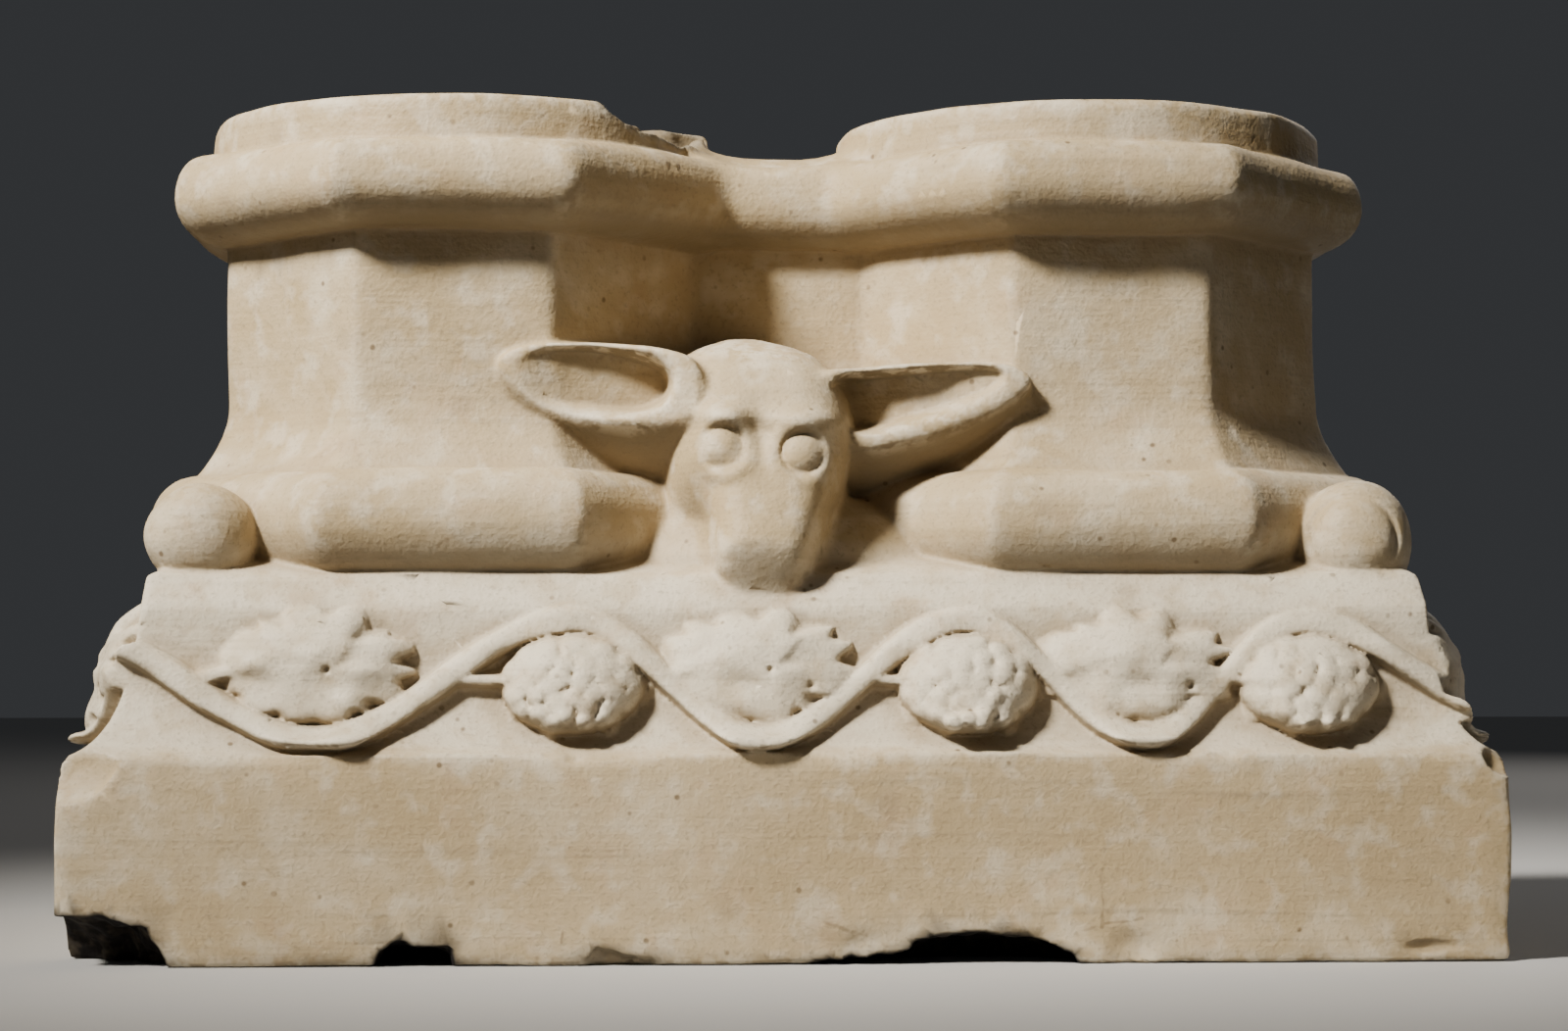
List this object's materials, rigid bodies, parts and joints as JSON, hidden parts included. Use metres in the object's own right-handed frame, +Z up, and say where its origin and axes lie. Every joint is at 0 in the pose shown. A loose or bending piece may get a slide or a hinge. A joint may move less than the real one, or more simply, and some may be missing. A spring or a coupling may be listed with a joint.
{
  "type": "double column base",
  "caption": "Carved marble base for a pair of small columns: octagonal bases with round seats on a shared plinth with a vine scroll, corner balls and a calf's head.",
  "frame": {"origin": "middle of the underside", "axes": "+X along the pair of columns to the right as seen from the front, -Y out of the front with the calf's head, +Z up"},
  "size_m": [0.568, 0.312, 0.349],
  "materials": {
    "marble": "old ivory marble, carved and worn, with tan patina in the recesses"
  },
  "bodies": {
    "root": {"column_base": "marble"}
  },
  "joints": []
}
